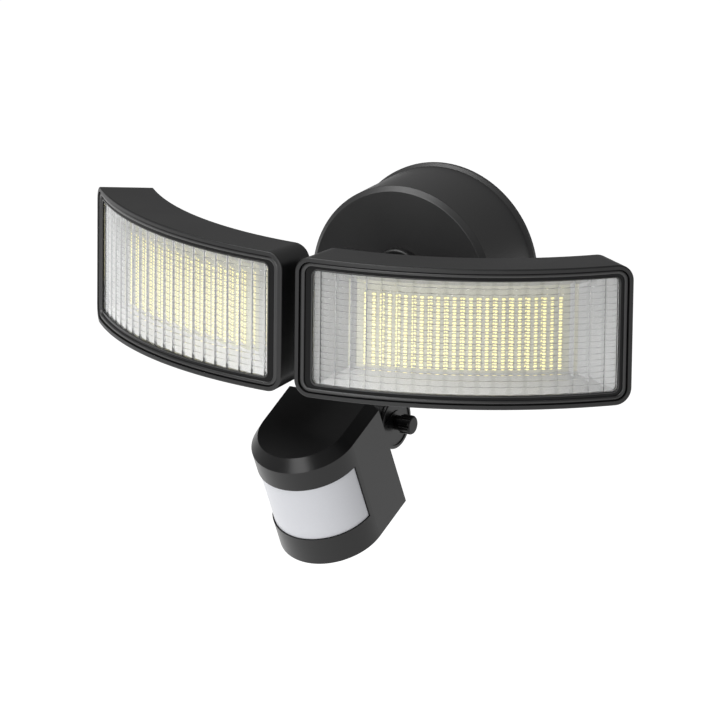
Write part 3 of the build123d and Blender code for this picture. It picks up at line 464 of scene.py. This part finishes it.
def outlineLoop(radius, inset, share):  # share 0 follows the head's outline, 1 the window's
    b = borderValues
    innerEnd = inset + share * (b["innerEnd"] - b["edge"])
    outerEnd = inset + share * (b["outerEnd"] - b["edge"])
    corner = (head["corner"] - inset) * (1 - share) + (lensValues["corner"] + b["edge"] - inset) * share
    lowA = -head["halfAngle"] + (innerEnd + corner) * perMm
    highA = head["halfAngle"] - (outerEnd + corner) * perMm
    highZ = head["height"] / 2 - inset - corner
    lowZ = -highZ
    points = []
    for a, z, turn in ((lowA, lowZ, 180), (highA, lowZ, 270), (highA, highZ, 0), (lowA, highZ, 90)):
        if turn in (270, 90):
            fromA, toA = (lowA, highA) if turn == 270 else (highA, lowA)
            level = z - corner if turn == 270 else z + corner
            steps = b["alongSteps"]
            points += [(fromA + (toA - fromA) * t / steps, level) for t in range(1, steps)]
        for t in range(b["cornerSteps"] + 1):
            way = math.radians(turn + 90 * t / b["cornerSteps"])
            points.append((a + corner * math.cos(way) * perMm, z + corner * math.sin(way)))
    return [frontPoint(radius, *spot) for spot in points]


def ringMesh(*profiles):  # closed rings round the window, one for each profile
    bm = bmesh.new()
    for profile in profiles:
        loops = [[bm.verts.new(spot) for spot in outlineLoop(*line)] for line in profile]
        for first, second in zip(loops, loops[1:] + loops[:1]):
            for k in range(len(first)):
                after = (k + 1) % len(first)
                bm.faces.new((first[k], first[after], second[after], second[k]))
    return meshFrom(bm, "ringBlank")


def bandProfile():  # the flat band between the bead and the window
    b = borderValues
    inner, outer, chamfer = b["edge"], b["beadEnd"] - b["lap"], b["chamfer"]
    return [(b["low"], inner, 1), (b["band"] - chamfer, inner, 1), (b["band"], inner - chamfer, 1),
            (b["band"], outer, b["bandShare"]), (b["back"], outer, b["bandShare"]),
            (b["back"], inner - b["wall"], 1), (b["low"], inner - b["wall"], 1)]


def crownProfile(low, top, outer, inner, outerShare, innerShare):  # a bead with a rounded top
    b = borderValues
    middle, reach = (outer + inner) / 2, (inner - outer) / 2
    crown = []
    for step in range(b["crownSteps"] + 1):
        part = step / b["crownSteps"]
        rise = b["shoulder"] + (1 - b["shoulder"]) * math.sin(math.pi * part) ** b["squareness"]
        crown.append((low + (top - low) * rise, middle - reach * math.cos(math.pi * part),
                      outerShare + (innerShare - outerShare) * part))
    return [(low, inner, innerShare), (low, outer, outerShare)] + crown


ledValues = {  # two glowing dots, one above the other, in each case; widths and heights are half sizes
    "columns": 12, "rows": 6, "halfAngle": 14.385, "fieldHeight": 35.0, "drop": 2.0, "boardRadius": 197.7,
    "caseWide": 2.8, "caseTall": 3.2, "caseDepth": 0.7, "caseSides": 4, "caseTop": 0.92, "caseLift": 0.01,
    "glowWide": 2.3, "glowTall": 1.05, "glowDepth": 0.14, "glowSides": 12, "glowTop": 0.8, "sharpAngle": 30,
}


def ledArrayTree():  # one small tapered block on each point of a grid bent round the head's axis
    tree, start, end = geometryTree("ledArray", [
        ("Columns", "NodeSocketInt", 18), ("Rows", "NodeSocketInt", 6), ("Half Angle", "NodeSocketFloat", 0.3),
        ("Field Height", "NodeSocketFloat", 0.043), ("Base Radius", "NodeSocketFloat", 0.198),
        ("Sides", "NodeSocketInt", 4), ("Half Width", "NodeSocketFloat", 0.002),
        ("Stretch Up", "NodeSocketFloat", 1.0), ("Depth", "NodeSocketFloat", 0.001),
        ("Top Share", "NodeSocketFloat", 0.9), ("Material", "NodeSocketMaterial", None)])
    get = start.outputs
    grid = tree.nodes.new("GeometryNodeMeshGrid")
    tree.links.new(calc(tree, "MULTIPLY", get["Half Angle"], 2.0), grid.inputs["Size X"])
    tree.links.new(get["Field Height"], grid.inputs["Size Y"])
    tree.links.new(get["Columns"], grid.inputs["Vertices X"])
    tree.links.new(get["Rows"], grid.inputs["Vertices Y"])
    position = tree.nodes.new("GeometryNodeInputPosition")
    flat = tree.nodes.new("ShaderNodeSeparateXYZ")  # x is the angle and y the height, until it is bent
    tree.links.new(position.outputs[0], flat.inputs[0])
    bend = tree.nodes.new("GeometryNodeSetPosition")
    tree.links.new(grid.outputs["Mesh"], bend.inputs["Geometry"])
    tree.links.new(aroundAxis(tree, get["Base Radius"], flat.outputs[0], flat.outputs[1]),
                   bend.inputs["Position"])
    block = tree.nodes.new("GeometryNodeMeshCone")
    tree.links.new(get["Sides"], block.inputs["Vertices"])
    tree.links.new(get["Half Width"], block.inputs["Radius Bottom"])
    tree.links.new(calc(tree, "MULTIPLY", get["Half Width"], get["Top Share"]), block.inputs["Radius Top"])
    tree.links.new(get["Depth"], block.inputs["Depth"])
    square = tree.nodes.new("GeometryNodeTransform")
    square.inputs["Rotation"].default_value = (0, 0, math.radians(45))
    tree.links.new(block.outputs["Mesh"], square.inputs["Geometry"])
    stretch = tree.nodes.new("GeometryNodeTransform")
    tree.links.new(square.outputs["Geometry"], stretch.inputs["Geometry"])
    tree.links.new(xyz(tree, 1.0, get["Stretch Up"], 1.0), stretch.inputs["Scale"])
    where = tree.nodes.new("GeometryNodeInputPosition")
    bent = tree.nodes.new("ShaderNodeSeparateXYZ")
    tree.links.new(where.outputs[0], bent.inputs[0])
    turn = calc(tree, "ARCTAN2", bent.outputs[0], calc(tree, "MULTIPLY", bent.outputs[1], -1.0))
    place = tree.nodes.new("GeometryNodeInstanceOnPoints")
    tree.links.new(bend.outputs["Geometry"], place.inputs["Points"])
    tree.links.new(stretch.outputs["Geometry"], place.inputs["Instance"])
    tree.links.new(xyz(tree, math.radians(90), 0.0, turn), place.inputs["Rotation"])
    endTree(tree, start, end, place.outputs["Instances"])
    return tree


facetTree, ledTree = lensFacetTree(), ledArrayTree()
for side in ("left", "right"):
    body, lensNode, ledNode = side + "_head", side + "_head_lens", side + "_leds"

    v = lensValues
    mesh = runTree("facetedLens", lensBlank(), facetTree, {
        "Column Pitch": v["columnPitch"], "Column Phase": v["columnPhase"], "Row Pitch": v["rowPitch"] * mm,
        "Ridge Across": v["ridgeAcross"] * mm, "Ridge Up": v["ridgeUp"] * mm, "Rib Across": v["ribAcross"],
        "Rib Up": v["ribUp"], "Column Rib": v["columnRib"] * mm, "Row Rib": v["rowRib"] * mm,
        "Thinnest": v["thinnest"] * mm, "Front Radius": v["front"] * mm, "Material": finishes["clearLens"]})
    mesh.attributes.remove(mesh.attributes["faceted"])
    placeHead(mesh, side)
    addPiece(side + "Lens", mesh, body, lensNode, v["sharpAngle"])

    b = borderValues
    mesh = ringMesh(bandProfile())
    mesh.materials.append(finishes["coverBorder"])
    placeHead(mesh, side)
    addPiece(side + "CoverBorder", mesh, body, lensNode, b["bandSharpAngle"])
    bead = crownProfile(b["back"], b["top"], b["outer"], b["beadEnd"], 0, b["beadShare"])
    trim = crownProfile(b["band"] - b["chamfer"], b["band"] + b["trimRise"],
                        b["edge"] - b["trim"] - b["lap"], b["edge"] - b["lap"], 1, 1)
    mesh = ringMesh(bead, trim)
    mesh.materials.append(finishes["coverBead"])
    placeHead(mesh, side)
    addPiece(side + "CoverBead", mesh, body, lensNode, b["beadSharpAngle"])

    v = ledValues
    base = {"Columns": v["columns"], "Half Angle": math.radians(v["halfAngle"])}
    rowPitch = v["fieldHeight"] / (v["rows"] - 1)
    lower = Matrix.Translation((0, 0, -v["drop"] * mm))
    mesh = runTree("ledCases", bpy.data.meshes.new("ledBase"), ledTree, {
        **base, "Rows": v["rows"], "Field Height": v["fieldHeight"] * mm,
        "Base Radius": (v["boardRadius"] + v["caseLift"]) * mm, "Sides": v["caseSides"],
        "Half Width": v["caseWide"] * math.sqrt(2) * mm, "Stretch Up": v["caseTall"] / v["caseWide"],
        "Depth": v["caseDepth"] * mm, "Top Share": v["caseTop"], "Material": finishes["ledCase"]})
    mesh.transform(lower)
    placeHead(mesh, side)
    addPiece(side + "LedCases", mesh, body, ledNode, v["sharpAngle"])
    mesh = runTree("ledGlow", bpy.data.meshes.new("glowBase"), ledTree, {
        **base, "Rows": v["rows"] * 2, "Field Height": (v["fieldHeight"] + rowPitch / 2) * mm,
        "Base Radius": (v["boardRadius"] + v["caseDepth"]) * mm, "Sides": v["glowSides"],
        "Half Width": v["glowWide"] * mm, "Stretch Up": v["glowTall"] / v["glowWide"],
        "Depth": v["glowDepth"] * mm, "Top Share": v["glowTop"], "Material": finishes["phosphorWithPaintedGlow"]})
    mesh.transform(lower)
    placeHead(mesh, side)
    addPiece(side + "LedPhosphor", mesh, body, ledNode, v["sharpAngle"])
print("light heads made")


# Stage, light and camera.
stageValues = {
    "floorZ": -0.62, "halfSize": 30.0, "tone": 0.9, "roughness": 0.9, "specular": 0.1, "glow": 0.75,
    "ambient": 0.28,
}
halfSize, floorZ = stageValues["halfSize"], stageValues["floorZ"]
floorMesh = bpy.data.meshes.new("studioFloor")
floorMesh.from_pydata([(-halfSize, -halfSize, floorZ), (halfSize, -halfSize, floorZ),
                       (halfSize, halfSize, floorZ), (-halfSize, halfSize, floorZ)], [], [(0, 1, 2, 3)])
floor = bpy.data.objects.new("studioFloor", floorMesh)
scene.collection.objects.link(floor)
floorMaterial = bpy.data.materials.new("paleFloor")
floorMaterial.use_nodes = True
floorTree = floorMaterial.node_tree
floorShader = floorTree.nodes["Principled BSDF"]
floorShader.inputs["Base Color"].default_value = (*[stageValues["tone"]] * 3, 1)
floorShader.inputs["Roughness"].default_value = stageValues["roughness"]
floorShader.inputs["Specular IOR Level"].default_value = stageValues["specular"]


def seenRays(tree):  # 1 for the camera, glossy and transmission rays that show the backdrop
    rays = addNode(tree, "ShaderNodeLightPath", (-700, 300))
    first = addNode(tree, "ShaderNodeMath", (-450, 300), operation="MAXIMUM")
    both = addNode(tree, "ShaderNodeMath", (-250, 300), operation="MAXIMUM")
    tree.links.new(rays.outputs["Is Camera Ray"], first.inputs[0])
    tree.links.new(rays.outputs["Is Glossy Ray"], first.inputs[1])
    tree.links.new(first.outputs[0], both.inputs[0])
    tree.links.new(rays.outputs["Is Transmission Ray"], both.inputs[1])
    return both.outputs[0]


floorLink = floorTree.links.new
floorGlow = addNode(floorTree, "ShaderNodeEmission", (0, -300), Strength=stageValues["glow"])
floorGlow.inputs["Color"].default_value = (1, 1, 1, 1)
floorDark = addNode(floorTree, "ShaderNodeEmission", (0, -450), Strength=0.0)
floorMix = addNode(floorTree, "ShaderNodeMixShader", (250, -300))
floorSum = addNode(floorTree, "ShaderNodeAddShader", (450, 0))
floorLink(seenRays(floorTree), floorMix.inputs["Fac"])
floorLink(floorDark.outputs["Emission"], floorMix.inputs[1])
floorLink(floorGlow.outputs["Emission"], floorMix.inputs[2])
floorLink(floorMix.outputs["Shader"], floorSum.inputs[0])
floorLink(floorShader.outputs["BSDF"], floorSum.inputs[1])
floorSide = addNode(floorTree, "ShaderNodeNewGeometry", (450, 300))
floorClear = addNode(floorTree, "ShaderNodeBsdfTransparent", (450, -200))
floorOneSided = addNode(floorTree, "ShaderNodeMixShader", (650, 100))  # seen from below, the floor is clear
floorLink(floorSide.outputs["Backfacing"], floorOneSided.inputs["Fac"])
floorLink(floorSum.outputs["Shader"], floorOneSided.inputs[1])
floorLink(floorClear.outputs["BSDF"], floorOneSided.inputs[2])
floorLink(floorOneSided.outputs["Shader"], floorTree.nodes["Material Output"].inputs["Surface"])
floorMesh.materials.append(floorMaterial)

world = bpy.data.worlds.new("softStudio")
scene.world = world
world.use_nodes = True
worldTree = world.node_tree
worldTree.nodes.clear()
sky = addNode(worldTree, "ShaderNodeBackground", (0, 0), Strength=stageValues["ambient"])
sky.inputs["Color"].default_value = (1, 1, 1, 1)
worldOut = addNode(worldTree, "ShaderNodeOutputWorld", (250, 0))
worldTree.links.new(sky.outputs["Background"], worldOut.inputs["Surface"])

lamps = {  # place, aim, width, height, watts
    "keySoftbox": ((0.06, -1.72, 0.24), (0, -0.1, 0), 0.9, 0.5, 8.0),
    "topSoftbox": ((-0.52, -0.8, 1.2), (0, -0.1, 0), 1.1, 0.9, 20.0),
}
for name, (place, aim, width, height, watts) in lamps.items():
    data = bpy.data.lights.new(name, "AREA")
    data.shape = "RECTANGLE"
    data.size, data.size_y, data.energy = width, height, watts
    lamp = bpy.data.objects.new(name, data)
    lamp.location = place
    lamp.rotation_euler = (Vector(aim) - Vector(place)).to_track_quat("-Z", "Y").to_euler()
    scene.collection.objects.link(lamp)

view = {  # degrees, metres, and the lens in millimetres
    "azimuth": 27.71, "elevation": 15.49, "distance": 4.6056, "target": (-0.05333, 0.0, -0.06385),
    "roll": 0.69, "lens": 400.0, "sensor": 36.0, "farthest": 60.0,
}
azimuth, elevation, roll = (math.radians(view[key]) for key in ("azimuth", "elevation", "roll"))
backward = Vector((math.sin(azimuth) * math.cos(elevation), -math.cos(azimuth) * math.cos(elevation),
                   math.sin(elevation)))
rightward = Vector((math.cos(azimuth), math.sin(azimuth), 0))
upward = backward.cross(rightward)
turnedRight = rightward * math.cos(roll) + upward * math.sin(roll)
turnedUp = upward * math.cos(roll) - rightward * math.sin(roll)
cameraData = bpy.data.cameras.new("photoCamera")
cameraData.lens = view["lens"]
cameraData.sensor_width = view["sensor"]
cameraData.clip_end = view["farthest"]
camera = bpy.data.objects.new("photoCamera", cameraData)
scene.collection.objects.link(camera)
camera.matrix_world = Matrix.Translation(Vector(view["target"]) + backward * view["distance"]) @ Matrix(
    (turnedRight, turnedUp, backward)).transposed().to_4x4()
scene.camera = camera
scene.view_settings.view_transform = "Standard"
print("stage, lamps and camera set")
